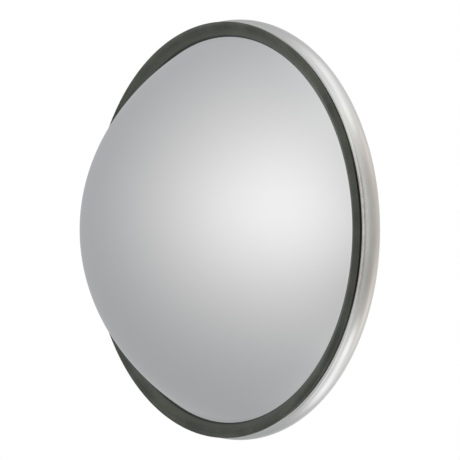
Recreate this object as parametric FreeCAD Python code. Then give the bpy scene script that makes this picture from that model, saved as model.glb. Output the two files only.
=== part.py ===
import FreeCAD, Part
import math
import os

# Deep-dome convex mirror head on a ball stud, carried by a hinged wall or post bracket.
#
# Row frame, millimetres: +Z is up, the mirror faces -Y, and the origin is the centre of the
# bracket's rear face, where it meets the wall or post plate. Turned pieces are turned about
# the Y axis. Head dimensions are (r, s): r is the radius from that axis and s the distance in
# front of the rim plane, so a point lies at y = RIM_Y - s.

V = FreeCAD.Vector

# ---- driving dimensions -------------------------------------------------------------------

GAP = 0.05  # between pieces that only touch

# rim
RIM_R = 150.5  # the rubber rim's largest radius: a nominal 300 mm head
RIM_Y = -108.0  # the rim plane

# domed face
DOME_CURVE = 121.5  # radius of curvature at the apex
DOME_EASE = 134.2  # how fast that radius grows towards the foot, where the dome is steepest
DOME_TILT = 62.8  # steepness at the foot, degrees
DOME_T = 3.0
FOOT_S = -5.16
FILLET_R = 2.5  # hollow radius between the foot and the flange
DOME_EDGE_R = 146.5
DOME_STEPS = 16  # points that fix the crowned face's curve

# rubber rim
NOSE_R = 0.5  # rounding of the inner lip, which lies on the dome's foot
CORNER_R = 2.25  # rounding of the outer corner
CORNER_S = -0.6
FACE_R = 38.0  # crown of the sloping face
BEAD_S = -2.1  # underside of the bead, which stands clear of the shell's lip
BEAD_EDGE_R = 0.45
RUBBER_IN = 140.6  # inner radius of the channel behind the dome's flange
RUBBER_GRIP = 148.5  # outer radius inside the shell's lip
RUBBER_BARB = 149.65
RUBBER_BOTTOM_S = -13.5

# back shell, one pressed sheet
SHEET = 0.8
LIP = (149.9, -6.1)  # centre of the rolled lip
LIP_ROLL_R = 1.2
WALL_R = 152.4  # where the crowned, flaring wall meets the shoulder
WALL_S = -14.6
WALL_NECK = (150.74, -7.35)  # where it meets the rolled lip
SHOULDER_R = 9.9
BACK_S = WALL_S - SHOULDER_R
DISH_DEPTH = 3.5  # the pressed step towards the hub
DISH_R = (112.0, 124.0)
HUB_HOLE_R = 15.5
DRAIN_R = 3.0
DRAIN_X = 30.0
DRAIN_Z = -128.0
BACK_Y = RIM_Y - (BACK_S - DISH_DEPTH)  # outer face of the shell at the hub

# packing behind the rubber
PACKING_R = (135.2, 146.6)

# ball joint
BALL_Y = -74.0
BALL_R = 10.0
BALL_FIT = 0.05
POCKET_R = 14.06
SEAT_R = 14.0
SEAT_REAR_Y = -66.6
SEAT_FRONT_Y = -87.0
SEAT_SPLIT = 0.4
SEAT_REAR_REACH = 41.0  # how far each seat reaches round the ball, degrees
SEAT_FRONT_REACH = 72.0
HUB_R = 38.0
HUB_T = 3.0
SEAL_T = 1.0
BOSS_R = 19.0
BOSS_Y = -64.0
MOUTH_R = (8.5, 9.4)  # flared mouth that lets the neck swing
CUP_T = 2.0
CUP_Y = -93.0
SPRING_T = 0.9
HUB_SCREW_AT = 27.5
HUB_SCREW_R = 2.5
CLEAR = 0.2  # round a screw

# stud
NECK_R = 4.5
NECK_END_Y = -60.0
COLLAR_R = 6.5
COLLAR_END_Y = -56.0
STUD_R = 4.9
STUD_END_Y = -30.0
STUD_PITCH = 1.5
JAM_NUT_T = 5.0
STUD_NUT_T = 8.0
STUD_NUT_AF = 17.0
STUD_WASHER_T = 2.0
LOCK_WASHER_T = 2.5

# hinged yoke
PIVOT_Y = -27.0
WEB_FRONT_Y = -49.0
YOKE_SHEET = 3.0
WEB_REAR_Y = WEB_FRONT_Y + YOKE_SHEET
YOKE_HALF_H = 29.7
YOKE_HALF_W = 23.0
YOKE_BEND_R = 4.5
EAR_R = 13.0

# pivots
PIVOT_R = 3.95
PIVOT_PITCH = 1.25
PIVOT_FIT = 0.06
BUSH_R = 5.4
BUSH_FLANGE_R = 10.0
BUSH_FLANGE_T = 0.9
RUN = 0.1  # between faces that turn past each other
PIVOT_NUT_T = 7.0
PIVOT_NUT_AF = 13.0
PIVOT_HEAD_T = 5.3
PIVOT_WASHER_R = 8.2
PIVOT_WASHER_T = 1.5
PIVOT_NUT_Z = YOKE_HALF_H - YOKE_SHEET - RUN - PIVOT_WASHER_T  # outer face of the nut

# wall bracket
BASE_T = 4.0
BASE_HALF_W = 30.0
BASE_HALF_H = 54.0
BASE_CORNER_R = 9.0
BASE_EAR_T = 4.0
BASE_EAR_Z = YOKE_HALF_H + BUSH_FLANGE_T + RUN  # inner face of each ear
BASE_EAR_HALF_W = 22.0
WELD = 3.0
FIX_X = 19.0  # half the spacing of the fixing holes
FIX_Z = 43.0
FIX_R = 3.5


# ---- drawing helpers ----------------------------------------------------------------------


def outline(start, *steps):
    """A closed face in the XY plane. A step is a point for a straight edge, a pair of points,
    through and to, for an arc, or more points for a smooth curve through them all."""
    edges = []
    at = start
    for step in steps + (start,):
        is_curve = isinstance(step[0], tuple)
        to = step[-1] if is_curve else step
        a, b = V(at[0], at[1], 0), V(to[0], to[1], 0)
        if is_curve and len(step) == 2:
            edges.append(Part.Arc(a, V(step[0][0], step[0][1], 0), b).toShape())
        elif is_curve:
            curve = Part.BSplineCurve()
            curve.interpolate([a] + [V(x, y, 0) for x, y in step])
            edges.append(curve.toShape())
        elif a.distanceToPoint(b) > 1e-7:
            edges.append(Part.LineSegment(a, b).toShape())
        at = to
    return Part.Face(Part.Wire(edges))


def turned(start, *steps):
    """A ring or disc: the outline, drawn as (radius, y), turned about the Y axis."""
    return outline(start, *steps).revolve(V(0, 0, 0), V(0, 1, 0), 360)


def head_turned(start, *steps):
    """As turned, but drawn in the head's (r, s)."""

    def in_row(step):
        if isinstance(step[0], tuple):
            return tuple(in_row(point) for point in step)
        return (step[0], RIM_Y - step[1])

    return turned(in_row(start), *[in_row(step) for step in steps])


def on_circle(centre, radius, degrees):
    """A point of a circle; 0 degrees is towards +first axis, 90 towards +second."""
    turn = math.radians(degrees)
    return (centre[0] + radius * math.cos(turn), centre[1] + radius * math.sin(turn))


def direction(start, end):
    """The direction from one point to another, in degrees."""
    return math.degrees(math.atan2(end[1] - start[1], end[0] - start[0]))


def crown_centre(a, a_r, b, b_r, radius):
    """The centre of an arc that runs over two circles and touches both, a's on its left."""
    reach = math.dist(a, b)
    from_a, from_b = radius - a_r, radius - b_r
    along = (from_a ** 2 - from_b ** 2 + reach ** 2) / (2 * reach)
    below = math.acos(along / from_a)
    return on_circle(a, from_a, direction(a, b) - math.degrees(below))


def rod_y(radius, y0, y1, x=0.0, z=0.0):
    return Part.makeCylinder(radius, y1 - y0, V(x, y0, z), V(0, 1, 0))


def rod_z(radius, z0, z1, y):
    return Part.makeCylinder(radius, z1 - z0, V(0, y, z0), V(0, 0, 1))


def hexagon(across_flats, y0, y1):
    """A hexagonal bar along Y with its corners chamfered at both faces."""
    corner = across_flats / math.sqrt(3)
    points = []
    for i in range(7):
        x, z = on_circle((0, 0), corner, 60 * i)
        points.append(V(x, y0, z))
    bar = Part.Face(Part.makePolygon(points)).extrude(V(0, y1 - y0, 0))
    face_r = across_flats * 0.485
    drop = (corner - face_r) * 0.6
    return bar.common(turned((0, y0), (face_r, y0), (corner, y0 + drop), (corner, y1 - drop),
                             (face_r, y1), (0, y1)))


def hex_nut(across_flats, bore_r, y0, y1):
    return hexagon(across_flats, y0, y1).cut(rod_y(bore_r, y0 - 1, y1 + 1))


def plain_washer(inner, outer, y0, y1):
    broken = (y1 - y0) * 0.2
    return turned((inner, y0), (outer - broken, y0), (outer, y0 + broken), (outer, y1 - broken),
                  (outer - broken, y1), (inner, y1))


def split_washer(inner, outer, y0, y1):
    """A spring washer: a ring with one slanting cut."""
    cut = Part.makeBox(outer, 3 * (y1 - y0), 0.9, V(0, y0 - (y1 - y0), -0.45))
    cut.rotate(V(outer / 2, (y0 + y1) / 2, 0), V(1, 0, 0), 25)
    return turned((inner, y0), (outer, y0), (outer, y1), (inner, y1)).cut(cut)


def thread_steps(radius, pitch, y0, y1):
    """The zigzag of a thread's section from y0 up to y1, for use inside an outline."""
    turns = int((y1 - y0) / pitch)
    steps = []
    for i in range(turns):
        y = y0 + i * pitch
        steps += [(radius, y), (radius, y + pitch * 0.25), (radius - pitch / 2, y + pitch * 0.6)]
    return steps + [(radius, y0 + turns * pitch), (radius, y1)]


def upright(shape):
    """Stands a piece drawn along +Y up along +Z on the pivots' axis."""
    made = shape.copy()
    made.rotate(V(0, 0, 0), V(1, 0, 0), 90)
    made.translate(V(0, PIVOT_Y, 0))
    return made


def both_pivots(shape):
    """The upper pivot's piece, and the same piece below, the other way up."""
    below = shape.copy()
    below.rotate(V(0, 0, 0), V(0, 1, 0), 180)
    return [shape, below]


def around(shape, count, start):
    """Copies of a shape evenly round the Y axis."""
    made = []
    for i in range(count):
        copy = shape.copy()
        copy.rotate(V(0, 0, 0), V(0, 1, 0), start + 360.0 * i / count)
        made.append(copy)
    return made


def drilled_for_hub_screws(shape):
    """Cuts the four clearance holes that every piece of the hub shares."""
    tool = rod_y(HUB_SCREW_R + CLEAR, CUP_Y, BOSS_Y, x=HUB_SCREW_AT)
    for hole in around(tool, 4, 45):
        shape = shape.cut(hole)
    return shape


def ear(half_w, root_y, z0, z1):
    """A flat ear that tapers from its root to a round end about the pivot."""
    toward = 1 if root_y > PIVOT_Y else -1
    depth = abs(root_y - PIVOT_Y)
    lean = math.atan2(half_w, depth) + math.acos(EAR_R / math.hypot(half_w, depth))
    x, y = EAR_R * math.sin(lean), PIVOT_Y + toward * EAR_R * math.cos(lean)
    plan = outline((-half_w, root_y), (half_w, root_y), (x, y),
                   ((0, PIVOT_Y - toward * EAR_R), (-x, y)))
    plan.translate(V(0, 0, z0))
    return plan.extrude(V(0, 0, z1 - z0))


def save(node, *shapes):
    """Writes one node, which is one or more separate solids."""
    solids = [solid for shape in shapes for solid in shape.Solids]
    for solid in solids:
        if not solid.isValid() or solid.Volume <= 0:
            raise ValueError(node + " holds a bad solid")
    shape = solids[0] if len(solids) == 1 else Part.makeCompound(solids)
    shape.exportStep("parts/" + node + ".step")
    box = shape.BoundBox
    volume = sum(solid.Volume for solid in solids)
    print("%-16s %d solid(s) %9.1f mm3, y %.2f to %.2f" %
          (node, len(solids), volume, box.YMin, box.YMax))


# ---- mirror head --------------------------------------------------------------------------


def dome_point(tilt, depth):
    """The point where the dome is this steep, in degrees, on the mirrored face or a depth
    behind it. Its radius of curvature is DOME_CURVE + DOME_EASE * sin(tilt) ** 2."""
    sine, cosine = math.sin(math.radians(tilt)), math.cos(math.radians(tilt))
    foot = math.cos(math.radians(DOME_TILT))
    r = DOME_CURVE * sine + DOME_EASE * sine ** 3 / 3
    s = (FOOT_S + (DOME_CURVE + DOME_EASE) * (cosine - foot)
         - DOME_EASE * (cosine ** 3 - foot ** 3) / 3)
    return (r - depth * sine, s - depth * cosine)


FILLET_C = dome_point(DOME_TILT, -FILLET_R)
FLANGE_S = FILLET_C[1] - FILLET_R
FOOT_TURN = 270 - DOME_TILT  # direction from the fillet's centre to the foot


def mirror_dome():
    """Moulded dome: crowned face, flatter towards its foot, and a short flange."""

    def face(depth):
        crown = [dome_point(DOME_TILT * i / DOME_STEPS, depth) for i in range(DOME_STEPS + 1)]
        radius = FILLET_R + depth
        fillet = (on_circle(FILLET_C, radius, (FOOT_TURN + 270) / 2),
                  on_circle(FILLET_C, radius, 270))
        return crown, fillet, (DOME_EDGE_R, FLANGE_S - depth)

    crown, fillet, edge = face(0)
    in_crown, in_fillet, in_edge = face(DOME_T)
    return head_turned(crown[0], tuple(crown[1:]), fillet, edge, in_edge, in_fillet[1],
                       (in_fillet[0], in_crown[-1]), tuple(in_crown[-2::-1]))


def rim_gasket():
    """Rubber channel: a sloping face outside, a slot for the dome's flange, a barb that hooks
    behind the shell's lip."""
    nose = dome_point(DOME_TILT, -GAP - NOSE_R)
    corner = (RIM_R - CORNER_R, CORNER_S)
    face_c = crown_centre(nose, NOSE_R, corner, CORNER_R, FACE_R)
    nose_turn, corner_turn = direction(face_c, nose), direction(face_c, corner)
    edge = (RIM_R - BEAD_EDGE_R, BEAD_S + BEAD_EDGE_R)
    slot = FILLET_R - GAP
    slot_end_r = DOME_EDGE_R + GAP
    behind = FLANGE_S - DOME_T - GAP
    return head_turned(
        on_circle(nose, NOSE_R, FOOT_TURN),
        (on_circle(nose, NOSE_R, (FOOT_TURN + nose_turn) / 2), on_circle(nose, NOSE_R, nose_turn)),
        (on_circle(face_c, FACE_R, (nose_turn + corner_turn) / 2),
         on_circle(corner, CORNER_R, corner_turn)),
        (on_circle(corner, CORNER_R, corner_turn / 2), on_circle(corner, CORNER_R, 0)),
        on_circle(edge, BEAD_EDGE_R, 0),
        (on_circle(edge, BEAD_EDGE_R, -45), on_circle(edge, BEAD_EDGE_R, -90)),
        (RUBBER_GRIP, BEAD_S), (RUBBER_GRIP, LIP[1] - 1.0),
        (RUBBER_BARB, LIP[1] - 1.7), (RUBBER_BARB, LIP[1] - 2.9), (RUBBER_GRIP, LIP[1] - 5.0),
        (RUBBER_GRIP, RUBBER_BOTTOM_S), (RUBBER_IN, RUBBER_BOTTOM_S), (RUBBER_IN, behind),
        (slot_end_r, behind), (slot_end_r, FLANGE_S + GAP), (FILLET_C[0], FLANGE_S + GAP),
        (on_circle(FILLET_C, slot, (FOOT_TURN + 270) / 2), on_circle(FILLET_C, slot, FOOT_TURN)))


def back_shell():
    """Pressed pan: rolled lip, crowned wall, round shoulder and a back dished at the hub."""
    inner_r, outer_r = DISH_R
    half_w, half_h = (outer_r - inner_r) / 2, DISH_DEPTH / 2
    bend = (half_w ** 2 + half_h ** 2) / (2 * half_h)
    swing = math.degrees(math.asin(half_w / bend))
    hub_s = BACK_S - DISH_DEPTH
    inner_c, outer_c = (inner_r, hub_s + bend), (outer_r, BACK_S - bend)
    shoulder = (WALL_R - SHOULDER_R, WALL_S)
    rise = WALL_NECK[1] - WALL_S
    flare = WALL_R - WALL_NECK[0]
    crown = (flare ** 2 + rise ** 2) / (2 * flare)
    wall_c = (WALL_R - crown, WALL_S)
    lean = math.degrees(math.asin(rise / crown))

    def face(depth):
        """Corner points of one face from the hub outwards, with each arc's through point."""
        near, far = bend - depth, bend + depth
        return {"hub": (HUB_HOLE_R, hub_s + depth), "dish": (inner_r, hub_s + depth),
                "dish_arc": on_circle(inner_c, near, swing / 2 - 90),
                "step": on_circle(inner_c, near, swing - 90),
                "step_arc": on_circle(outer_c, far, 90 + swing / 2),
                "flat": (outer_r, BACK_S + depth), "turn": (shoulder[0], BACK_S + depth),
                "turn_arc": on_circle(shoulder, SHOULDER_R - depth, -45),
                "wall": (WALL_R - depth, WALL_S),
                "wall_arc": on_circle(wall_c, crown - depth, lean / 2),
                "neck": on_circle(wall_c, crown - depth, lean)}

    out, inn = face(0), face(SHEET)
    roll_out = on_circle(LIP, LIP_ROLL_R, -52)
    roll_in = on_circle(LIP, LIP_ROLL_R, -128)
    pan = head_turned(
        out["hub"], out["dish"], (out["dish_arc"], out["step"]), (out["step_arc"], out["flat"]),
        out["turn"], (out["turn_arc"], out["wall"]), (out["wall_arc"], out["neck"]), roll_out,
        (on_circle(LIP, LIP_ROLL_R, 0), on_circle(LIP, LIP_ROLL_R, 90)),
        (on_circle(LIP, LIP_ROLL_R, 180), roll_in), inn["neck"], (inn["wall_arc"], inn["wall"]),
        (inn["turn_arc"], inn["turn"]), inn["flat"], (inn["step_arc"], inn["step"]),
        (inn["dish_arc"], inn["dish"]), inn["hub"])
    pan = drilled_for_hub_screws(pan)
    for x in (-DRAIN_X, DRAIN_X):
        pan = pan.cut(rod_y(DRAIN_R, BACK_Y - 10, BACK_Y, x=x, z=DRAIN_Z))
    return pan


def packing_ring():
    """Closed-cell strip that keeps the rubber and the dome's flange pressed forward."""
    top, bottom = RUBBER_BOTTOM_S - GAP, BACK_S + SHEET + GAP
    inner, outer = PACKING_R
    return head_turned((inner, top), (outer, top), (outer, WALL_S - 4.5),
                       (outer - 5.0, bottom), (inner, bottom))


# ---- ball joint ---------------------------------------------------------------------------


def socket_housing():
    """Cast hub: a flange, a register through the shell, a ribbed boss with the seats' pocket."""
    base = BACK_Y + SEAL_T
    top = base + HUB_T
    register_r, register_y = HUB_HOLE_R - 0.15, BACK_Y - SHEET
    root, crown = 2.5, 4.0
    body = turned(
        (POCKET_R, register_y), (register_r, register_y), (register_r, base), (HUB_R, base),
        (HUB_R, top - 1.2), (HUB_R - 1.2, top), (BOSS_R + root, top),
        (on_circle((BOSS_R + root, top + root), root, 225), (BOSS_R, top + root)),
        (BOSS_R - 0.8, BOSS_Y - crown),
        (on_circle((BOSS_R - 0.8 - crown, BOSS_Y - crown), crown, 45),
         (BOSS_R - 0.8 - crown, BOSS_Y)),
        (MOUTH_R[1], BOSS_Y), (MOUTH_R[0], SEAT_REAR_Y + RUN), (POCKET_R, SEAT_REAR_Y + RUN))
    rib = outline((BOSS_R - 2, top - 1), (HUB_R - 6, top - 1), (HUB_R - 6, top + 0.4),
                  (BOSS_R - 2, BOSS_Y - 4.5)).extrude(V(0, 0, 2.6))
    rib.translate(V(0, 0, -1.3))
    for web in around(rib, 4, 0):
        body = body.fuse(web)
    return drilled_for_hub_screws(body.removeSplitter())


def socket_seal():
    """Rubber washer between the hub's flange and the shell."""
    return drilled_for_hub_screws(plain_washer(HUB_HOLE_R, HUB_R - 0.6, BACK_Y, BACK_Y + SEAL_T))


def retainer_cup():
    """Pressed cup inside the shell, whose floor backs the springs."""
    y = BACK_Y - SHEET
    side = POCKET_R + CUP_T
    cup = turned(
        (POCKET_R, y), (HUB_R - 2, y), (HUB_R - 2, y - CUP_T), (side + 1.5, y - CUP_T),
        (on_circle((side + 1.5, y - CUP_T - 1.5), 1.5, 135), (side, y - CUP_T - 1.5)),
        (side, CUP_Y + 2), (on_circle((side - 2, CUP_Y + 2), 2, -45), (side - 2, CUP_Y)),
        (3, CUP_Y), (3, CUP_Y + CUP_T), (POCKET_R, CUP_Y + CUP_T))
    return drilled_for_hub_screws(cup)


def seat_half(side, reach, end_y, mouth_flare):
    """One nylon half of the ball's seat: side is +1 behind the ball and -1 in front."""
    ball = (0, BALL_Y)
    r = BALL_R + BALL_FIT
    start = side * math.degrees(math.asin(SEAT_SPLIT / r))
    first, last = on_circle(ball, r, start), on_circle(ball, r, side * reach)
    return turned(first, (on_circle(ball, r, (start + side * reach) / 2), last),
                  (last[0] + mouth_flare, end_y), (SEAT_R - 0.6, end_y),
                  (SEAT_R, end_y - side * 0.6), (SEAT_R, first[1]))


def pressure_springs():
    """Two conical spring washers, back to back, between the front seat and the cup's floor."""
    low, high = CUP_Y + CUP_T + GAP, SEAT_FRONT_Y - GAP
    middle = (low + high) / 2
    made = []
    for side, far in ((-1, low), (1, high)):
        made.append(turned((6.5, far), (6.5, far - side * SPRING_T), (13.4, middle + side * GAP),
                           (13.4, middle + side * (GAP + SPRING_T))))
    return made


def hub_screw():
    """Cross-recess pan-head screw, driven from behind."""
    head = BACK_Y + SEAL_T + HUB_T
    tip = BACK_Y - 11
    screw = turned((0, tip), (HUB_SCREW_R - 0.6, tip), (HUB_SCREW_R, tip + 0.8),
                   (HUB_SCREW_R, head), (4.7, head), (4.7, head + 1.0),
                   ((3.5, head + 2.6), (0, head + 3.2)))
    for width, height in ((4.6, 0.9), (0.9, 4.6)):
        screw = screw.cut(Part.makeBox(width, 3, height, V(-width / 2, head + 1.4, -height / 2)))
    screw.translate(V(HUB_SCREW_AT, 0, 0))
    return screw


def hub_nut():
    """Locking nut against the cup's flange."""
    y = BACK_Y - SHEET - CUP_T
    collar = turned((HUB_SCREW_R, y - 5), (3.1, y - 5), (3.5, y - 4), (3.5, y - 3.5),
                    (HUB_SCREW_R, y - 3.5))
    nut = hex_nut(8.0, HUB_SCREW_R, y - 4, y).fuse(collar).removeSplitter()
    nut.translate(V(HUB_SCREW_AT, 0, 0))
    return nut


def ball_stud():
    """Ball, waisted neck, collar and threaded shank in one piece."""
    neck_turn = math.degrees(math.acos(NECK_R / BALL_R))
    ball = (0, BALL_Y)
    return turned(
        (0, BALL_Y - BALL_R),
        (on_circle(ball, BALL_R, (neck_turn - 90) / 2), on_circle(ball, BALL_R, neck_turn)),
        (NECK_R, NECK_END_Y), (COLLAR_R, NECK_END_Y + 1.5), (COLLAR_R, COLLAR_END_Y),
        *thread_steps(STUD_R, STUD_PITCH, COLLAR_END_Y, STUD_END_Y - 1.2),
        (STUD_R - 1.1, STUD_END_Y), (0, STUD_END_Y))


# ---- bracket ------------------------------------------------------------------------------


def yoke_bracket():
    """Folded channel: its web takes the stud and its ears turn on the pivots."""
    h, t = YOKE_HALF_H, YOKE_SHEET
    out, inn = YOKE_BEND_R, YOKE_BEND_R - YOKE_SHEET
    root = WEB_REAR_Y + inn
    section = outline(
        (root, h), (on_circle((root, h - out), out, 135), (WEB_FRONT_Y, h - out)),
        (WEB_FRONT_Y, out - h), (on_circle((root, out - h), out, 225), (root, -h)),
        (root, t - h), (on_circle((root, t - h + inn), inn, 225), (WEB_REAR_Y, t - h + inn)),
        (WEB_REAR_Y, h - t - inn), (on_circle((root, h - t - inn), inn, 135), (root, h - t)))
    section.rotate(V(0, 0, 0), V(1, 1, 1), 120)
    section.translate(V(-YOKE_HALF_W, 0, 0))
    body = section.extrude(V(2 * YOKE_HALF_W, 0, 0))
    for z0 in (-h, h - t):
        body = body.fuse(ear(YOKE_HALF_W, root, z0, z0 + t))
    body = body.removeSplitter().cut(rod_y(STUD_R + 0.35, WEB_FRONT_Y - 1, WEB_REAR_Y + 1))
    return body.cut(rod_z(BUSH_R + 0.02, -h - 1, h + 1, PIVOT_Y))


def pivot_bush():
    """Flanged nylon bush in the yoke's ear; its flange is the friction face."""
    low, high = YOKE_HALF_H - YOKE_SHEET, YOKE_HALF_H
    bore = PIVOT_R + PIVOT_FIT
    return upright(turned((bore, low), (BUSH_R, low), (BUSH_R, high), (BUSH_FLANGE_R, high),
                          (BUSH_FLANGE_R, high + BUSH_FLANGE_T), (bore, high + BUSH_FLANGE_T)))


def pivot_bolt():
    """Hexagon bolt through the bracket's ear and the bush."""
    under = BASE_EAR_Z + BASE_EAR_T + PIVOT_WASHER_T
    tip = PIVOT_NUT_Z - PIVOT_NUT_T - 2.0
    shank = turned((0, tip), (PIVOT_R - 1, tip), (PIVOT_R, tip + 1),
                   *thread_steps(PIVOT_R, PIVOT_PITCH, tip + 1, PIVOT_NUT_Z),
                   (PIVOT_R, under), (0, under))
    head = hexagon(PIVOT_NUT_AF, under, under + PIVOT_HEAD_T)
    return upright(shank.fuse(head).removeSplitter())


def pivot_washers():
    """One plain washer under the bolt's head and one under the nut."""
    under_head = BASE_EAR_Z + BASE_EAR_T
    return [upright(plain_washer(PIVOT_R + CLEAR, PIVOT_WASHER_R, z, z + PIVOT_WASHER_T))
            for z in (under_head, PIVOT_NUT_Z)]


def pivot_nut():
    return upright(hex_nut(PIVOT_NUT_AF, PIVOT_R, PIVOT_NUT_Z - PIVOT_NUT_T, PIVOT_NUT_Z))


def wall_plate():
    """The bracket's plate, with rounded corners."""
    w, h = BASE_HALF_W - BASE_CORNER_R, BASE_HALF_H - BASE_CORNER_R
    steps = []
    for i, centre in enumerate(((w, -h), (w, h), (-w, h), (-w, -h))):
        turn = 90 * i - 90
        steps.append(on_circle(centre, BASE_CORNER_R, turn))
        steps.append((on_circle(centre, BASE_CORNER_R, turn + 45),
                      on_circle(centre, BASE_CORNER_R, turn + 90)))
    plate = outline(*steps)
    plate.rotate(V(0, 0, 0), V(1, 0, 0), 90)
    return plate.extrude(V(0, -BASE_T, 0))


def base_bracket():
    """Wall plate with two ears welded across it."""
    body = wall_plate()
    front = -BASE_T
    bead_half_w = BASE_EAR_HALF_W - 1.5
    for low in (-BASE_EAR_Z - BASE_EAR_T, BASE_EAR_Z):
        high = low + BASE_EAR_T
        body = body.fuse(ear(BASE_EAR_HALF_W, front, low, high))
        for z, reach in ((low, -WELD), (high, WELD)):
            bead = outline((front, z), (front - WELD, z), (front, z + reach))
            bead.rotate(V(0, 0, 0), V(1, 1, 1), 120)
            bead.translate(V(-bead_half_w, 0, 0))
            body = body.fuse(bead.extrude(V(2 * bead_half_w, 0, 0)))
    body = body.removeSplitter()
    body = body.cut(rod_z(PIVOT_R + CLEAR, -BASE_HALF_H, BASE_HALF_H, PIVOT_Y))
    for x in (-FIX_X, FIX_X):
        for z in (-FIX_Z, FIX_Z):
            body = body.cut(rod_y(FIX_R, -BASE_T - 1, 1, x=x, z=z))
    return body


# ---- the parts ----------------------------------------------------------------------------


def main():
    os.makedirs("parts", exist_ok=True)
    save("mirror_dome", mirror_dome())
    save("rim_gasket", rim_gasket())
    save("back_shell", back_shell())
    save("packing_ring", packing_ring())

    save("socket_housing", socket_housing())
    save("socket_seal", socket_seal())
    save("retainer_cup", retainer_cup())
    save("pressure_springs", *pressure_springs())
    save("socket_screws", *around(hub_screw(), 4, 45))
    save("socket_nuts", *around(hub_nut(), 4, 45))
    save("seat_rear", seat_half(1, SEAT_REAR_REACH, SEAT_REAR_Y, 0.9))
    save("seat_front", seat_half(-1, SEAT_FRONT_REACH, SEAT_FRONT_Y, 0))

    washer_end = WEB_REAR_Y + STUD_WASHER_T
    lock_end = washer_end + LOCK_WASHER_T
    save("ball_stud", ball_stud())
    save("jam_nut", hex_nut(STUD_NUT_AF, STUD_R, WEB_FRONT_Y - JAM_NUT_T, WEB_FRONT_Y))
    save("stud_washer", plain_washer(STUD_R + CLEAR, 10.5, WEB_REAR_Y, washer_end))
    save("lock_washer", split_washer(STUD_R + CLEAR, 8.6, washer_end, lock_end))
    save("stud_nut", hex_nut(STUD_NUT_AF, STUD_R, lock_end, lock_end + STUD_NUT_T))

    save("yoke_bracket", yoke_bracket())
    save("pivot_bushes", *both_pivots(pivot_bush()))
    save("pivot_bolts", *both_pivots(pivot_bolt()))
    save("pivot_washers", *[one for washer in pivot_washers() for one in both_pivots(washer)])
    save("pivot_nuts", *both_pivots(pivot_nut()))
    save("base_bracket", base_bracket())


main()
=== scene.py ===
import math

import bmesh
import bpy
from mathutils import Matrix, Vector

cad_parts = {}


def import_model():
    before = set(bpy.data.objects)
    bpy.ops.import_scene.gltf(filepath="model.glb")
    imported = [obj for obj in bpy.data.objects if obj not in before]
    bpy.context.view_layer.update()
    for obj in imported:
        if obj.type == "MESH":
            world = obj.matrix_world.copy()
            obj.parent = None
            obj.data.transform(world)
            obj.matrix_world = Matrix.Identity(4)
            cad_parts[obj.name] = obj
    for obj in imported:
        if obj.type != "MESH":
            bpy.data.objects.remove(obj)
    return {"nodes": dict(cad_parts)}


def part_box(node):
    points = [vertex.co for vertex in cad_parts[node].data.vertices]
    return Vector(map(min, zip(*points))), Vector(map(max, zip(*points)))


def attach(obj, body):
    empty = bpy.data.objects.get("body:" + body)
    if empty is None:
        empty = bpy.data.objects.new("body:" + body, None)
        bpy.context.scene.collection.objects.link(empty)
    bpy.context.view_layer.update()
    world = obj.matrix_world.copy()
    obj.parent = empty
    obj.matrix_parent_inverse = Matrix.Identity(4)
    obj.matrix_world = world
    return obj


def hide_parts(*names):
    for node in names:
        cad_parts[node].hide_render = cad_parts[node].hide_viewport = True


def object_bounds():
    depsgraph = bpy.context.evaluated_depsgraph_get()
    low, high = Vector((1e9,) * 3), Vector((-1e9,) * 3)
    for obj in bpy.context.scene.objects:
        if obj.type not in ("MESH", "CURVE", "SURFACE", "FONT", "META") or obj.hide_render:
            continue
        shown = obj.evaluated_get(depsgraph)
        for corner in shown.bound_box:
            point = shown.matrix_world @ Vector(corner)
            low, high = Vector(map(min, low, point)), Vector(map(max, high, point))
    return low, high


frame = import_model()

cad_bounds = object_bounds()

# The convex mirror's looks, in metres in the row frame: the mirror faces -Y and +Z is up.
# Turned pieces are turned about the Y axis. Head dimensions are (r, s): r from that axis, and
# s in front of the rim plane, so a point lies at y = RIM_Y - s.

MM = 0.001
AROUND = 256  # segments of the head's turned pieces
SHARP = 35.0  # edges that turn by more than this stay sharp, degrees
ON_AXIS = 1e-7  # a point nearer to the axis than this is on it

# ---- sizes --------------------------------------------------------------------------------

# dome
DOME_CURVE = 121.5 * MM  # radius of curvature at the apex
DOME_EASE = 134.2 * MM  # how fast that radius grows towards the foot
DOME_TILT = 62.8  # steepness at the foot, degrees
DOME_T = 3.0 * MM
FOOT_S = -5.16 * MM
FILLET_R = 2.5 * MM
DOME_EDGE_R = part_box("mirror_dome")[1].x
SKIN = 0.05 * MM  # between pieces that only touch

# rubber rim
RIM_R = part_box("rim_gasket")[1].x
NOSE_R = 0.5 * MM  # rounding of the inner lip, which lies on the dome's foot
CORNER_R = 2.25 * MM
CORNER_S = -0.6 * MM
FACE_R = 38.0 * MM  # crown of the sloping face
RUBBER_IN = 140.6 * MM
RUBBER_GRIP = 148.5 * MM
RUBBER_BARB = 149.65 * MM
BARB_DROPS = (1.0 * MM, 1.7 * MM, 2.9 * MM, 5.0 * MM)  # its corners, behind the lip's centre
BEAD_S = -2.1 * MM  # underside of the bead, which stands clear of the shell's lip
BEAD_EDGE_R = 0.45 * MM
CREASE_R = (140.3 * MM, 141.2 * MM)  # painted crease shadow, full up to the first, and gone from the second
SHEEN_R = (142.0 * MM, 145.6 * MM)  # painted sheen, paler up to the first, and not from the second
GAP_R = (147.6 * MM, 148.0 * MM)  # where the painted shadow between bead and lip starts, and is full
GAP_BLUR = 0.1 * MM


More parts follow.
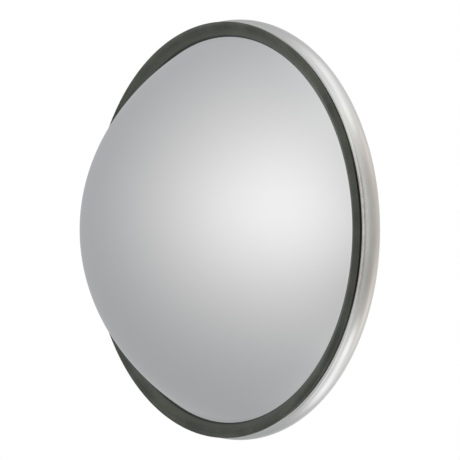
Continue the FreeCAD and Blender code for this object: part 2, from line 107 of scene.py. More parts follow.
def dome_point(tilt, depth=0.0):
    """The (r, s) where the dome is this steep, in degrees, or a depth behind that point. Its
    radius of curvature is DOME_CURVE + DOME_EASE * sin(tilt) ** 2."""
    sine, cosine = math.sin(math.radians(tilt)), math.cos(math.radians(tilt))
    foot = math.cos(math.radians(DOME_TILT))
    r = DOME_CURVE * sine + DOME_EASE * sine ** 3 / 3
    s = (FOOT_S + (DOME_CURVE + DOME_EASE) * (cosine - foot)
         - DOME_EASE * (cosine ** 3 - foot ** 3) / 3)
    return (r - depth * sine, s - depth * cosine)


RIM_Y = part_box("mirror_dome")[0].y + dome_point(0)[1]
RUBBER_BOTTOM_S = RIM_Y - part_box("rim_gasket")[1].y
FOOT_TURN = 270 - DOME_TILT
FILLET_C = dome_point(DOME_TILT, -FILLET_R)
FLANGE_S = FILLET_C[1] - FILLET_R

# back shell
SHELL_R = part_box("back_shell")[1].x
SHEET = 0.8 * MM
SHADE_DROP = (6.8 * MM, 9.0 * MM)  # behind the rim plane: painted shade full up to the first, gone from the second
LIP = (149.9 * MM, -6.1 * MM)
LIP_ROLL_R = 1.2 * MM
WALL_S = -14.6 * MM
WALL_NECK = (150.74 * MM, -7.35 * MM)  # where the crowned wall meets the rolled lip
SHOULDER_R = 9.9 * MM
BACK_S = WALL_S - SHOULDER_R
HUB_S = RIM_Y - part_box("back_shell")[1].y
DISH_R = (112.0 * MM, 124.0 * MM)
HUB_HOLE_R = 15.5 * MM
DRAIN_R = 3.0 * MM
DRAIN_XZ = (30.0 * MM, -128.0 * MM)
HUB_SCREW_AT = 27.5 * MM
HUB_SCREW_HOLE_R = 2.7 * MM

# wall bracket's weld beads, whose ripples fade from the first of each pair to the second
EAR_MID_Z = 32.6 * MM  # middle of each welded ear
WELD_PITCH = 1.6 * MM
WELD_X = (20.4 * MM, 21.0 * MM)
WELD_Z = (4.8 * MM, 5.2 * MM)  # from the ear's middle
WELD_FRONT_Y = (-6.8 * MM, -7.3 * MM)
WELD_REAR_Y = (-4.1 * MM, -3.9 * MM)


# ---- shapes -------------------------------------------------------------------------------


def arc(centre, radius, start, end, steps):
    """Points of a circle from one direction to another, in degrees."""
    points = []
    for i in range(steps + 1):
        turn = math.radians(start + (end - start) * i / steps)
        points.append((centre[0] + radius * math.cos(turn), centre[1] + radius * math.sin(turn)))
    return points


def direction(start, end):
    """The direction from one point to another, in degrees."""
    return math.degrees(math.atan2(end[1] - start[1], end[0] - start[0]))


def crown_centre(a, a_r, b, b_r, radius):
    """The centre of an arc that runs over two circles and touches both, a's on its left."""
    reach = math.dist(a, b)
    from_a, from_b = radius - a_r, radius - b_r
    along = (from_a ** 2 - from_b ** 2 + reach ** 2) / (2 * reach)
    turn = math.radians(direction(a, b)) - math.acos(along / from_a)
    return (a[0] + from_a * math.cos(turn), a[1] + from_a * math.sin(turn))


def mesh_object(name, vertices, faces):
    mesh = bpy.data.meshes.new(name)
    mesh.from_pydata(vertices, [], faces)
    made = bmesh.new()
    made.from_mesh(mesh)
    bmesh.ops.recalc_face_normals(made, faces=made.faces)
    made.to_mesh(mesh)
    made.free()
    shade(mesh)
    piece = bpy.data.objects.new(name, mesh)
    bpy.context.scene.collection.objects.link(piece)
    return piece


def shade(mesh):
    """Smooth shading that keeps the sharp edges."""
    for polygon in mesh.polygons:
        polygon.use_smooth = True
    mesh.set_sharp_from_angle(angle=math.radians(SHARP))


def turned_mesh(profile, around):
    """Vertices and faces of a closed (radius, y) profile turned about Y. A point on the axis
    becomes one vertex, and a profile that starts and ends on the axis isn't closed along it."""
    vertices, rows = [], []
    for radius, y in profile:
        if radius < ON_AXIS:
            rows.append([len(vertices)] * around)
            vertices.append((0.0, y, 0.0))
            continue
        rows.append(list(range(len(vertices), len(vertices) + around)))
        for i in range(around):
            turn = 2 * math.pi * i / around
            vertices.append((radius * math.cos(turn), y, radius * math.sin(turn)))
    faces = []
    joined = profile[0][0] < ON_AXIS and profile[-1][0] < ON_AXIS
    for j in range(len(rows) - 1 if joined else len(rows)):
        low, high = rows[j], rows[(j + 1) % len(rows)]
        for i in range(around):
            k = (i + 1) % around
            corners = []
            for corner in (low[i], low[k], high[k], high[i]):
                if corner not in corners:
                    corners.append(corner)
            if len(corners) > 2:
                faces.append(corners)
    return vertices, faces


def head_turned(name, profile):
    """A turned piece whose profile is in the head's (r, s)."""
    return mesh_object(name, *turned_mesh([(r, RIM_Y - s) for r, s in profile], AROUND))


# ---- the head -----------------------------------------------------------------------------


def dome():
    """The silvered dome: crowned face, fillet and short flange, 3 mm thick."""
    steps = 110
    sides = []
    for depth in (0.0, DOME_T):
        crown = [dome_point(DOME_TILT * i / steps, depth) for i in range(steps + 1)]
        fillet = arc(FILLET_C, FILLET_R + depth, FOOT_TURN, 270, 8)[1:]
        sides.append(crown + fillet + [(DOME_EDGE_R, FLANGE_S - depth)])
    return head_turned("mirror_face", sides[0] + sides[1][::-1])


def gasket():
    """The rubber rim: nose on the dome's foot, crowned face, round corner, slot and barb."""
    nose = dome_point(DOME_TILT, -SKIN - NOSE_R)
    corner = (RIM_R - CORNER_R, CORNER_S)
    face_c = crown_centre(nose, NOSE_R, corner, CORNER_R, FACE_R)
    nose_turn, corner_turn = direction(face_c, nose), direction(face_c, corner)
    edge = (RIM_R - BEAD_EDGE_R, BEAD_S + BEAD_EDGE_R)
    behind = FLANGE_S - DOME_T - SKIN
    slot_end = DOME_EDGE_R + SKIN
    outside = (arc(nose, NOSE_R, FOOT_TURN, nose_turn, 10)
               + arc(face_c, FACE_R, nose_turn, corner_turn, 14)[1:-1]
               + arc(corner, CORNER_R, corner_turn, 0, 16)
               + arc(edge, BEAD_EDGE_R, 0, -90, 6))
    barb = [LIP[1] - drop for drop in BARB_DROPS]
    inside = [(RUBBER_GRIP, BEAD_S), (RUBBER_GRIP, barb[0]), (RUBBER_BARB, barb[1]),
              (RUBBER_BARB, barb[2]), (RUBBER_GRIP, barb[3]), (RUBBER_GRIP, RUBBER_BOTTOM_S),
              (RUBBER_IN, RUBBER_BOTTOM_S), (RUBBER_IN, behind), (slot_end, behind),
              (slot_end, FLANGE_S + SKIN)]
    slot = arc(FILLET_C, FILLET_R - SKIN, 270, FOOT_TURN, 8)[:-1]
    return head_turned("rim_rubber", outside + inside + slot)


def shell():
    """The pressed pan with its rolled lip, holes cut through."""
    half_w, half_h = (DISH_R[1] - DISH_R[0]) / 2, (BACK_S - HUB_S) / 2
    bend = (half_w ** 2 + half_h ** 2) / (2 * half_h)
    swing = math.degrees(math.asin(half_w / bend))
    inner_c, outer_c = (DISH_R[0], HUB_S + bend), (DISH_R[1], BACK_S - bend)
    shoulder = (SHELL_R - SHOULDER_R, WALL_S)
    rise, flare = WALL_NECK[1] - WALL_S, SHELL_R - WALL_NECK[0]
    crown = (flare ** 2 + rise ** 2) / (2 * flare)
    wall_c = (SHELL_R - crown, WALL_S)
    lean = math.degrees(math.asin(rise / crown))

    def face(depth):
        hub = [(HUB_HOLE_R + (DISH_R[0] - HUB_HOLE_R) * i / 16, HUB_S + depth) for i in range(16)]
        flat = [(DISH_R[1] + (shoulder[0] - DISH_R[1]) * i / 4, BACK_S + depth) for i in range(1, 4)]
        return (hub + arc(inner_c, bend - depth, -90, swing - 90, 8)
                + arc(outer_c, bend + depth, 90 + swing, 90, 8)[1:] + flat
                + arc(shoulder, SHOULDER_R - depth, -90, 0, 20)
                + arc(wall_c, crown - depth, 0, lean, 12)[1:])

    roll = arc(LIP, LIP_ROLL_R, -52, 232, 28)
    piece = head_turned("shell_pan", face(0) + roll + face(SHEET)[::-1])
    cutters = []
    for i in range(4):
        turn = math.radians(45 + 90 * i)
        cutters.append((HUB_SCREW_AT * math.cos(turn), HUB_SCREW_AT * math.sin(turn),
                        HUB_SCREW_HOLE_R))
    for side in (-1, 1):
        cutters.append((side * DRAIN_XZ[0], DRAIN_XZ[1], DRAIN_R))
    cut_holes(piece, cutters, RIM_Y - BACK_S)
    return piece


def cut_holes(piece, holes, y):
    """Cuts round holes along Y through a piece near y. A hole is (x, z, radius)."""
    vertices, faces = [], []
    front, back = y - 10 * MM, y + 10 * MM
    for x, z, radius in holes:
        bar, sides = turned_mesh([(0, front), (radius, front), (radius, back), (0, back)], 48)
        faces += [[corner + len(vertices) for corner in side] for side in sides]
        vertices += [(vx + x, vy, vz + z) for vx, vy, vz in bar]
    cutter = mesh_object("cutter", vertices, faces)
    modifier = piece.modifiers.new("holes", "BOOLEAN")
    modifier.object = cutter
    modifier.operation = "DIFFERENCE"
    modifier.solver = "EXACT"
    apply_modifiers(piece)
    shade(piece.data)
    bpy.data.objects.remove(cutter)


def apply_modifiers(piece):
    """Makes the piece's mesh what its modifiers show."""
    bpy.context.view_layer.update()
    shown = piece.evaluated_get(bpy.context.evaluated_depsgraph_get())
    mesh = bpy.data.meshes.new_from_object(shown)
    piece.modifiers.clear()
    piece.data = mesh


# ---- the hardware -------------------------------------------------------------------------

SAME_POINT = 1e-6  # corners nearer than this are one
FACET_TURN = math.radians(0.5)  # facets that turn by less than this are one face
EDGE_TURN = math.radians(32)  # edges that turn by more than this are rounded


def refined(node, name, rounding):
    """A copy of a CAD node with its facets merged into faces and its edges rounded."""
    source = frame["nodes"][node]
    piece = bpy.data.objects.new(name, source.data.copy())
    bpy.context.scene.collection.objects.link(piece)
    made = bmesh.new()
    made.from_mesh(piece.data)
    bmesh.ops.remove_doubles(made, verts=made.verts, dist=SAME_POINT)
    bmesh.ops.dissolve_limit(made, angle_limit=FACET_TURN, verts=made.verts, edges=made.edges)
    made.to_mesh(piece.data)
    made.free()
    bevel = piece.modifiers.new("rounding", "BEVEL")
    bevel.width = rounding
    bevel.segments = 2
    bevel.limit_method = "ANGLE"
    bevel.angle_limit = EDGE_TURN
    level = piece.modifiers.new("level", "WEIGHTED_NORMAL")
    level.mode = "FACE_AREA"
    level.weight = 100
    for polygon in piece.data.polygons:
        polygon.use_smooth = True
    apply_modifiers(piece)
    return piece


# ---- materials ----------------------------------------------------------------------------


def add(tree, kind, inputs=None, **settings):
    """A shader node. Inputs are values or other nodes' output sockets."""
    made = tree.nodes.new("ShaderNode" + kind)
    for key, value in settings.items():
        setattr(made, key, value)
    for key, value in (inputs or {}).items():
        if isinstance(value, bpy.types.NodeSocket):
            tree.links.new(value, made.inputs[key])
        else:
            made.inputs[key].default_value = value
    return made


def new_material(name, **sockets):
    """A material with a Principled shader, and its tree and shader."""
    made = bpy.data.materials.new(name)
    made.use_nodes = True
    shader = made.node_tree.nodes["Principled BSDF"]
    for key, value in sockets.items():
        shader.inputs[key.replace("_", " ")].default_value = value
    return made, made.node_tree, shader


def math_node(tree, operation, a, b=0.0, c=0.0):
    return add(tree, "Math", {0: a, 1: b, 2: c}, operation=operation).outputs[0]


def ring_coordinates(tree):
    """A point's distance and unit direction from the Y axis, and its place along it."""
    place = add(tree, "TexCoord").outputs["Object"]
    flat = add(tree, "VectorMath", {0: place, 1: (1.0, 0.0, 1.0)}, operation="MULTIPLY").outputs[0]
    radius = add(tree, "VectorMath", {0: flat}, operation="LENGTH").outputs["Value"]
    unit = add(tree, "VectorMath", {0: flat}, operation="NORMALIZE").outputs[0]
    axial = add(tree, "SeparateXYZ", {0: place}).outputs["Y"]
    return radius, unit, axial


def ring_noise(tree, along, across, detail=3.0, roughness=0.6):
    """Noise drawn out round the Y axis: along is its scale round the ring, across over it."""
    radius, unit, axial = ring_coordinates(tree)
    stretched = add(tree, "VectorMath", {0: unit, 3: along}, operation="SCALE").outputs[0]
    shift = add(tree, "CombineXYZ", {"Y": math_node(tree, "MULTIPLY", axial, across)}).outputs[0]
    vector = add(tree, "VectorMath", {0: stretched, 1: shift}, operation="ADD").outputs[0]
    return add(tree, "TexNoise", {"Vector": vector, "W": math_node(tree, "MULTIPLY", radius, across),
                                  "Scale": 1.0, "Detail": detail, "Roughness": roughness},
               noise_dimensions="4D").outputs["Fac"]


def painted_shade_sides(tree):
    """1 at the head's left and right, where the painted shade is strongest, and 0 elsewhere."""
    _, unit, _ = ring_coordinates(tree)
    upright = math_node(tree, "ABSOLUTE", add(tree, "SeparateXYZ", {0: unit}).outputs["Z"])
    return between(tree, upright, 0.24, 0.42, 1.0, 0.0)


def noise(tree, scale, detail=3.0, roughness=0.5):
    place = add(tree, "TexCoord").outputs["Object"]
    return add(tree, "TexNoise", {"Vector": place, "Scale": scale, "Detail": detail,
                                  "Roughness": roughness}).outputs["Fac"]


def between(tree, value, low, high, to_low, to_high):
    return add(tree, "MapRange", {"Value": value, "From Min": low, "From Max": high,
                                  "To Min": to_low, "To Max": to_high}).outputs["Result"]


def blend_colours(tree, factor, a, b):
    mixed = add(tree, "Mix", {"Factor": factor}, data_type="RGBA")
    for socket, colour in ((6, a), (7, b)):
        if isinstance(colour, bpy.types.NodeSocket):
            tree.links.new(colour, mixed.inputs[socket])
        else:
            mixed.inputs[socket].default_value = colour
    return mixed.outputs[2]


def bump(tree, shader, height, distance, strength=1.0, under=None):
    inputs = {"Height": height, "Distance": distance, "Strength": strength}
    if under is not None:
        inputs["Normal"] = under
    made = add(tree, "Bump", inputs).outputs[0]
    tree.links.new(made, shader.inputs["Normal"])
    return made


def mirror_silver():
    """Silvering: near-perfect reflection with a breath of haze."""
    made, tree, shader = new_material("mirror_silver", Metallic=1.0)
    cloud = between(tree, noise(tree, 9.0, 4.0), 0.35, 0.65, 0.0, 1.0)
    tone = blend_colours(tree, cloud, (0.870, 0.871, 0.872, 1), (0.880, 0.880, 0.879, 1))
    tree.links.new(tone, shader.inputs["Base Color"])
    haze = between(tree, noise(tree, 260.0, 2.0), 0.35, 0.75, 0.012, 0.03)
    tree.links.new(haze, shader.inputs["Roughness"])
    return made


def rim_rubber():
    """Dark grey-green extruded rubber: a fine grain and faint drawn lines along the rim, a painted
    sheen beside the painted crease shadow by the mirror, and painted black shadow between its
    bead and the shell's lip."""
    made, tree, shader = new_material("rim_rubber", Roughness=0.5, Specular_IOR_Level=0.4)
    grain = ring_noise(tree, 60.0, 1500.0, 3.0)
    lines = ring_noise(tree, 2.0, 520.0, 2.0)
    cloud = math_node(tree, "MULTIPLY", noise(tree, 45.0, 4.0), 0.4)
    cloud = math_node(tree, "MULTIPLY_ADD", lines, 0.35, cloud)
    cloud = math_node(tree, "MULTIPLY_ADD", grain, 0.25, cloud)
    tone = blend_colours(tree, between(tree, cloud, 0.42, 0.58, 0.0, 1.0),
                         (0.042, 0.048, 0.036, 1), (0.078, 0.087, 0.068, 1))
    radius, _, axial = ring_coordinates(tree)
    # painted sheen: the inner face is coloured paler where light would catch its roll
    painted_sheen = between(tree, radius, *SHEEN_R, 0.75, 0.0)
    tone = blend_colours(tree, painted_sheen, tone, (0.090, 0.102, 0.082, 1))
    # painted shadow: darker colour in the crease where the rubber's nose meets the dome
    crease = between(tree, radius, *CREASE_R, 0.85, 0.0)
    tone = blend_colours(tree, crease, tone, (0.02, 0.021, 0.019, 1))
    # painted shadow under the bead, beside the shell's lip: full at the sides, lighter elsewhere
    outside = between(tree, radius, *GAP_R, 0.0, 1.0)
    under_y = RIM_Y - BEAD_S
    under = between(tree, axial, under_y - GAP_BLUR, under_y + GAP_BLUR, 0.0, 1.0)
    gap_shadow_sides = between(tree, painted_shade_sides(tree), 0.0, 1.0, 0.4, 1.0)
    gap_shadow = math_node(tree, "MULTIPLY", math_node(tree, "MULTIPLY", outside, under), gap_shadow_sides)
    tree.links.new(blend_colours(tree, gap_shadow, tone, (0.014, 0.011, 0.009, 1)),
                   shader.inputs["Base Color"])
    gloss = between(tree, grain, 0.3, 0.7, 0.42, 0.6)
    tree.links.new(math_node(tree, "MULTIPLY_ADD", gap_shadow, 0.35, gloss), shader.inputs["Roughness"])
    fine = bump(tree, shader, noise(tree, 2600.0, 2.0), 0.04 * MM, 0.5)
    bump(tree, shader, grain, 0.05 * MM, 0.6, fine)
    return made


def shell_steel():
    """Stainless sheet, spun and polished: rings of fine scratches, soft smears, tool marks, and
    painted shade and rubber reflection on the rolled lip and behind it at the sides."""
    made, tree, shader = new_material("shell_steel", Metallic=1.0)
    scratches = ring_noise(tree, 6.0, 4200.0, 2.0, 0.7)
    smears = ring_noise(tree, 5.0, 160.0, 3.0)
    shade_noise = ring_noise(tree, 38.0, 420.0, 3.0, 0.6)
    tone = blend_colours(tree, between(tree, smears, 0.3, 0.7, 0.0, 1.0),
                         (0.781, 0.778, 0.750, 1), (0.861, 0.858, 0.830, 1))
    _, _, axial = ring_coordinates(tree)
    # painted shade: darker colour on the lip and behind it, where the dark rubber's shade and
    # reflection would lie
    uneven = between(tree, shade_noise, 0.3, 0.7, -0.9 * MM, 0.9 * MM)
    behind = math_node(tree, "ADD", math_node(tree, "SUBTRACT", axial, RIM_Y), uneven)
    thick = math_node(tree, "MULTIPLY", between(tree, shade_noise, 0.35, 0.65, 0.3, 0.62),
                      painted_shade_sides(tree))
    painted_shade = math_node(tree, "MULTIPLY", between(tree, behind, *SHADE_DROP, 1.0, 0.0), thick)
    tone = blend_colours(tree, painted_shade, tone, (0.34, 0.33, 0.31, 1))
    tree.links.new(tone, shader.inputs["Base Color"])
    tree.links.new(between(tree, smears, 0.3, 0.75, 0.15, 0.25), shader.inputs["Roughness"])
    wavy = bump(tree, shader, noise(tree, 70.0, 2.0), 0.25 * MM, 0.35)
    bump(tree, shader, scratches, 0.03 * MM, 0.5, wavy)
    return made


def plain_metal(name, colour, roughness, grain=900.0, depth=0.02):
    """Plated or cast metal: slight blotches in colour and gloss over a fine grain."""
    made, tree, shader = new_material(name, Metallic=1.0)
    blotch = noise(tree, 120.0, 4.0)
    darker = tuple(c * 0.78 for c in colour)
    tone = blend_colours(tree, between(tree, blotch, 0.3, 0.7, 0.0, 1.0), (*darker, 1),
                         (*colour, 1))
    tree.links.new(tone, shader.inputs["Base Color"])
    tree.links.new(between(tree, blotch, 0.25, 0.75, roughness + 0.1, roughness - 0.06),
                   shader.inputs["Roughness"])
    bump(tree, shader, noise(tree, grain, 3.0), depth * MM, 0.6)
    return made


def galvanised(name, welded=False):
    """Hot-dip zinc: small crystal spangles of differing grey and gloss, dulled in patches. The
    welded one also has the ripples of the weld beads along the ears."""
    made, tree, shader = new_material(name, Metallic=0.8)
    place = add(tree, "TexCoord").outputs["Object"]
    wander = add(tree, "TexNoise", {"Vector": place, "Scale": 90.0, "Detail": 2.0})
    shifted = add(tree, "VectorMath", {0: wander.outputs["Color"], 1: (0.004,) * 3, 2: place},
                  operation="MULTIPLY_ADD").outputs[0]
    crystals = add(tree, "TexVoronoi", {"Vector": shifted, "Scale": 260.0, "Randomness": 1.0})
    shade = add(tree, "SeparateColor", {0: crystals.outputs["Color"]}).outputs[0]
    tone = blend_colours(tree, shade, (0.50, 0.52, 0.54, 1), (0.66, 0.68, 0.70, 1))
    dull = between(tree, noise(tree, 60.0, 4.0), 0.45, 0.75, 0.0, 0.7)
    tree.links.new(blend_colours(tree, dull, tone, (0.60, 0.61, 0.61, 1)),
                   shader.inputs["Base Color"])
    tree.links.new(between(tree, shade, 0.0, 1.0, 0.38, 0.54), shader.inputs["Roughness"])
    grain = bump(tree, shader, noise(tree, 500.0, 3.0), 0.03 * MM, 0.6)
    if welded:
        bump(tree, shader, weld_ripples(tree, place), 0.35 * MM, 1.0, grain)
    return made


def weld_ripples(tree, place):
    """Height of the weld beads' ripples, and level away from the beads."""
    split = add(tree, "SeparateXYZ", {0: place})
    wander = math_node(tree, "MULTIPLY", noise(tree, 220.0, 2.0), 2.5)
    wave = math_node(tree, "SINE", math_node(tree, "MULTIPLY_ADD", split.outputs["X"],
                                             2 * math.pi / WELD_PITCH, wander))
    aside = math_node(tree, "ABSOLUTE", split.outputs["X"])
    off_ear = math_node(tree, "ABSOLUTE", math_node(
        tree, "SUBTRACT", math_node(tree, "ABSOLUTE", split.outputs["Z"]), EAR_MID_Z))
    height = wave
    for distance, (near, far) in ((aside, WELD_X), (off_ear, WELD_Z),
                                  (split.outputs["Y"], WELD_FRONT_Y),
                                  (split.outputs["Y"], WELD_REAR_Y)):
        fade = between(tree, distance, near, far, 1.0, 0.0)
        height = math_node(tree, "MULTIPLY", height, fade)
    return height


def plain_polymer(name, colour, roughness, grain=1500.0):
    """Rubber or nylon: matte, with a moulded grain and slight unevenness."""
    made, tree, shader = new_material(name, Roughness=roughness)
    patch = noise(tree, 90.0, 4.0)
    darker = tuple(c * 0.8 for c in colour)
    tone = blend_colours(tree, between(tree, patch, 0.3, 0.7, 0.0, 1.0), (*darker, 1),
                         (*colour, 1))
    tree.links.new(tone, shader.inputs["Base Color"])
    tree.links.new(between(tree, patch, 0.3, 0.7, roughness - 0.05, roughness + 0.08),
                   shader.inputs["Roughness"])
    bump(tree, shader, noise(tree, grain, 2.0), 0.03 * MM, 0.6)
    return made


def packing_foam():
    """Closed-cell foam: charcoal, with small round cells open at the cut face, painted darker inside
    as shade.
    """
    made, tree, shader = new_material("packing_foam", Roughness=0.85)
    place = add(tree, "TexCoord").outputs["Object"]
    cells = add(tree, "TexVoronoi", {"Vector": place, "Scale": 900.0, "Randomness": 1.0})
    # painted shade: the open cells are coloured darker inside their hollows
    hollow = between(tree, cells.outputs["Distance"], 0.15, 0.5, 0.0, 1.0)
    tree.links.new(blend_colours(tree, hollow, (0.03, 0.03, 0.032, 1), (0.075, 0.076, 0.08, 1)),
                   shader.inputs["Base Color"])
    tree.links.new(between(tree, noise(tree, 120.0, 3.0), 0.3, 0.7, 0.78, 0.92),
                   shader.inputs["Roughness"])
    bump(tree, shader, hollow, 0.25 * MM, 0.8)
    return made


def paint(piece, material):
    piece.data.materials.clear()
    piece.data.materials.append(material)


# ---- the studio ---------------------------------------------------------------------------

VIEW_TURN = math.radians(50.24)  # how far the camera stands off the mirror's axis
VIEW_DISTANCE = 2.73
LENS = 295.5
HEAD_ASIDE = 7.72 * MM  # the head's centre lies this far left of the picture's centre
HEAD_RAISED = 0.17 * MM
LAMP_AT = (-0.9, -1.5, 0.9)
LAMP_AIM = (0.0, -0.1, 0.0)
LAMP_WIDTH = 1.4
LAMP_WATTS = 12.0

# The room is light as a function of direction. A glow has a direction, a tightness and a strength.
ROOM_LEVEL = 0.3636
ROOM_RISE = 0.044  # how much lighter it is overhead, and darker underfoot, than that
GLOW_TURN = math.radians(50.3)  # the glow that the dome shows as its bright spot
GLOW_RISE = math.radians(11.5)
BROAD_GLOW = (1.022, 0.4972)  # tightness and strength
TIGHT_GLOW = (5.0, 0.114)
PATCHES = [  # x, y, z, tightness and strength, each for a pair: one above and one below
    (-0.026, 0.458, 0.889, 27.8, 0.319),
    (0.322, 0.787, 0.527, 16.9, 0.269),
    (0.904, 0.201, 0.376, 9.0, -0.21),
    (-0.418, 0.818, 0.394, 22.0, 0.12),
    (-0.2, 0.93, 0.3, 8.0, 0.10),
    (0.12, 0.28, 0.95, 60.0, 0.26),
    (0.482, 0.270, 0.833, 34.8, 0.481)]
BELOW = 1.6  # how much stronger the lower one of a bright pair is

FAR_TINT = (0.985, 0.997, 1.028, 1)  # away from the glow
FAR_GLOW = (0.18, 0.55)  # the broad glow's fall, where that tint is full and where it is gone
TINTS = [  # x, y, z, tightness and colour
    (0.45, 0.89, 0.0, 5.0, (1.0, 0.96, 0.89, 1)),
    (0.47, 0.76, 0.44, 13.0, (1.0, 0.915, 0.86, 1)),
    (0.15, 0.35, 0.92, 9.0, (0.98, 0.993, 1.02, 1)),
    (0.47, 0.76, -0.44, 13.0, (1.0, 0.915, 0.86, 1)),
    (0.15, 0.35, -0.92, 9.0, (0.98, 0.993, 1.02, 1))]

FLOOR_DROP = 0.25  # below the object
FLOOR_REACH = 3.0
FLOOR_FADE = (0.8, 2.85)  # from the middle


def camera():
    """Level with the head, off to the side that the photograph shows."""
    data = bpy.data.cameras.new("camera")
    data.lens = LENS
    data.sensor_width = 36.0
    data.clip_start = 0.05
    eye = bpy.data.objects.new("camera", data)
    bpy.context.scene.collection.objects.link(eye)
    right = Vector((math.cos(VIEW_TURN), math.sin(VIEW_TURN), 0))
    back = Vector((math.sin(VIEW_TURN), -math.cos(VIEW_TURN), 0))
    aim = Vector((0, RIM_Y, -HEAD_RAISED)) + right * HEAD_ASIDE
    eye.location = aim + back * VIEW_DISTANCE
    eye.rotation_euler = (aim - eye.location).to_track_quat("-Z", "Y").to_euler()
    bpy.context.scene.camera = eye


def lobe(tree, ray, toward, tightness, strength):
    """A soft glow in the world: strength at a direction, fading as the angle grows."""
    toward = Vector(toward).normalized()
    across = add(tree, "VectorMath", {0: ray, 1: toward}, operation="DOT_PRODUCT").outputs["Value"]
    fall = math_node(tree, "MULTIPLY_ADD", across, tightness, -tightness)
    return math_node(tree, "MULTIPLY", math_node(tree, "EXPONENT", fall), strength)


def glow_direction():
    level = math.cos(GLOW_RISE)
    return (level * math.sin(GLOW_TURN), -level * math.cos(GLOW_TURN), math.sin(GLOW_RISE))


def room_light(tree, ray, glow):
    """How bright the room is: the broad glow, a tighter one in it, and the pairs of patches."""
    height = add(tree, "SeparateXYZ", {0: ray}).outputs["Z"]
    total = math_node(tree, "MULTIPLY_ADD", height, ROOM_RISE, ROOM_LEVEL)
    total = math_node(tree, "MULTIPLY_ADD", glow, BROAD_GLOW[1], total)
    total = math_node(tree, "ADD", total, lobe(tree, ray, glow_direction(), *TIGHT_GLOW))
    for x, y, z, tightness, strength in PATCHES:
        for side in (1, -1):
            share = BELOW if side < 0 < strength else 1.0
            patch = lobe(tree, ray, (x, y, side * z), tightness, strength * share)
            total = math_node(tree, "ADD", total, patch)
    return total


def room_tint(tree, ray, glow):
    """White by the glow, cool away from it, and warm or cool where the steel's edges look."""
    near = between(tree, glow, *FAR_GLOW, 0.0, 1.0)
    tint = blend_colours(tree, near, FAR_TINT, (1.0, 1.0, 1.0, 1))
    for x, y, z, tightness, colour in TINTS:
        here = lobe(tree, ray, (x, y, z), tightness, 1.0)
        tint = blend_colours(tree, here, tint, colour)
    return tint


def world():
    """A pale room: a broad glow behind the camera, patches of light above and below behind the
    head that mostly the steel shows, and plain white where the camera looks past the object."""
    made = bpy.data.worlds.new("studio")
    bpy.context.scene.world = made
    made.use_nodes = True
    tree = made.node_tree
    tree.nodes.clear()
    ray = add(tree, "TexCoord").outputs["Generated"]
    glow = lobe(tree, ray, glow_direction(), BROAD_GLOW[0], 1.0)
    room = add(tree, "Background", {"Color": room_tint(tree, ray, glow),
                                    "Strength": room_light(tree, ray, glow)}).outputs[0]
    white = add(tree, "Background", {"Color": (1, 1, 1, 1), "Strength": 1.0}).outputs[0]
    seen = add(tree, "LightPath").outputs["Is Camera Ray"]
    mixed = add(tree, "MixShader", {0: seen, 1: room, 2: white}).outputs[0]
    add(tree, "OutputWorld", {"Surface": mixed})


def softbox():
    """A large lamp that lights the floor and the rubber, and isn't seen in the mirror."""
    data = bpy.data.lights.new("softbox", "AREA")
    data.shape = "SQUARE"
    data.size = LAMP_WIDTH
    data.energy = LAMP_WATTS
    lamp = bpy.data.objects.new("softbox", data)
    bpy.context.scene.collection.objects.link(lamp)
    lamp.location = LAMP_AT
    lamp.rotation_euler = (Vector(LAMP_AIM) - Vector(LAMP_AT)).to_track_quat("-Z", "Y").to_euler()
    lamp.visible_glossy = False
    lamp.visible_camera = False


def floor_paint():
    """Pale paint that fades out towards the floor's edge."""
    made, tree, shader = new_material("floor_paint", Roughness=0.7)
    patch = noise(tree, 3.0, 3.0)
    tree.links.new(blend_colours(tree, patch, (0.80, 0.80, 0.80, 1), (0.84, 0.84, 0.835, 1)),
                   shader.inputs["Base Color"])
    place = add(tree, "TexCoord").outputs["Object"]
    level = add(tree, "VectorMath", {0: place, 1: (1, 1, 0)}, operation="MULTIPLY").outputs[0]
    reach = add(tree, "VectorMath", {0: level}, operation="LENGTH").outputs["Value"]
    faded = add(tree, "MapRange", {"Value": reach, "From Min": FLOOR_FADE[0],
                                   "From Max": FLOOR_FADE[1], "To Min": 1.0, "To Max": 0.0},
                interpolation_type="SMOOTHSTEP").outputs["Result"]
    tree.links.new(faded, shader.inputs["Alpha"])
    return made


def floor():
    """A pale round floor whose edge fades into the white."""
    mesh = bpy.data.meshes.new("floor")
    disc = bmesh.new()
    bmesh.ops.create_circle(disc, cap_ends=True, segments=96, radius=FLOOR_REACH)
    disc.to_mesh(mesh)
    disc.free()
    piece = bpy.data.objects.new("floor", mesh)
    piece.location = (0, 0, cad_bounds[0][2] - FLOOR_DROP)
    bpy.context.scene.collection.objects.link(piece)
    paint(piece, floor_paint())
    piece.visible_glossy = False


# ---- put it together ----------------------------------------------------------------------


def mount(piece, body, slot, material, *nodes):
    """Rides a piece on its body in place of the CAD nodes that it stands for."""
    paint(piece, material)
    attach(piece, body)
    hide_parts(*nodes)


def mount_head():
    """The three pieces that the photograph shows. Reflections leave the rubber and steel out."""
    silver, steel, rubber = mirror_silver(), shell_steel(), rim_rubber()
    face, rim, pan = dome(), gasket(), shell()
    mount(face, "head", "mirror_face", silver, "mirror_dome")
    mount(rim, "head", "rim_rubber", rubber, "rim_gasket")
    mount(pan, "head", "shell_steel", steel, "back_shell")
    rim.visible_glossy = False
    pan.visible_glossy = False


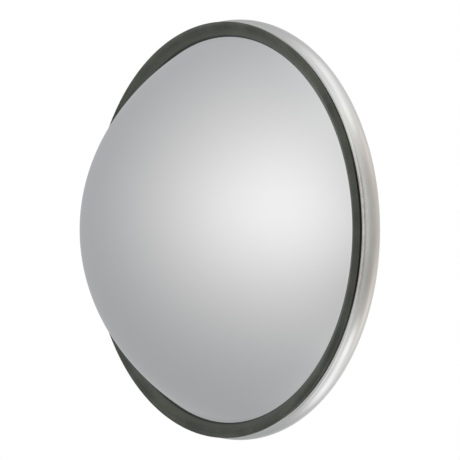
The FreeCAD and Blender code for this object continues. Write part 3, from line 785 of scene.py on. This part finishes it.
def finish_hardware():
    """Paints the CAD nodes inside the head, and mounts rounded copies of the ones outside it."""
    zinc = plain_metal("zinc_plate", (0.66, 0.68, 0.70), 0.32)
    spring = plain_metal("spring_steel", (0.36, 0.36, 0.38), 0.38)
    stainless = plain_metal("stainless", (0.68, 0.68, 0.68), 0.26)
    casting = plain_metal("casting", (0.66, 0.67, 0.68), 0.5, 700.0, 0.12)
    seal = plain_polymer("seal_rubber", (0.03, 0.03, 0.03), 0.6)
    nylon = plain_polymer("nylon", (0.75, 0.73, 0.66), 0.45)
    zinc_sheet = galvanised("galvanised")
    zinc_welded = galvanised("galvanised_welded", welded=True)

    inside = {"packing_ring": packing_foam(), "retainer_cup": zinc, "pressure_springs": spring,
              "socket_nuts": stainless, "seat_rear": nylon, "seat_front": nylon}
    for node, material in inside.items():
        paint(frame["nodes"][node], material)

    outside = {  # body, slot, material, and how far the edges are rounded, mm
        "socket_housing": ("head", "hub_casting", casting, 0.5),
        "socket_seal": ("head", "seal_rubber", seal, 0.1),
        "socket_screws": ("head", "stainless_fasteners", stainless, 0.12),
        "ball_stud": ("yoke", "zinc_plate", zinc, 0.12),
        "jam_nut": ("yoke", "zinc_plate", zinc, 0.15),
        "stud_washer": ("yoke", "zinc_plate", zinc, 0.1),
        "lock_washer": ("yoke", "spring_steel", spring, 0.15),
        "stud_nut": ("yoke", "zinc_plate", zinc, 0.15),
        "yoke_bracket": ("yoke", "galvanised_steel", zinc_sheet, 0.35),
        "pivot_bushes": ("yoke", "nylon", nylon, 0.12),
        "pivot_bolts": ("base", "zinc_plate", zinc, 0.12),
        "pivot_washers": ("base", "zinc_plate", zinc, 0.1),
        "pivot_nuts": ("base", "zinc_plate", zinc, 0.15),
        "base_bracket": ("base", "galvanised_steel", zinc_welded, 0.4)}
    for node, (body, slot, material, rounding) in outside.items():
        mount(refined(node, node + "_rounded", rounding * MM), body, slot, material, node)


def main():
    bpy.context.scene.view_settings.view_transform = "Standard"
    camera()
    world()
    softbox()
    floor()
    mount_head()
    finish_hardware()


main()
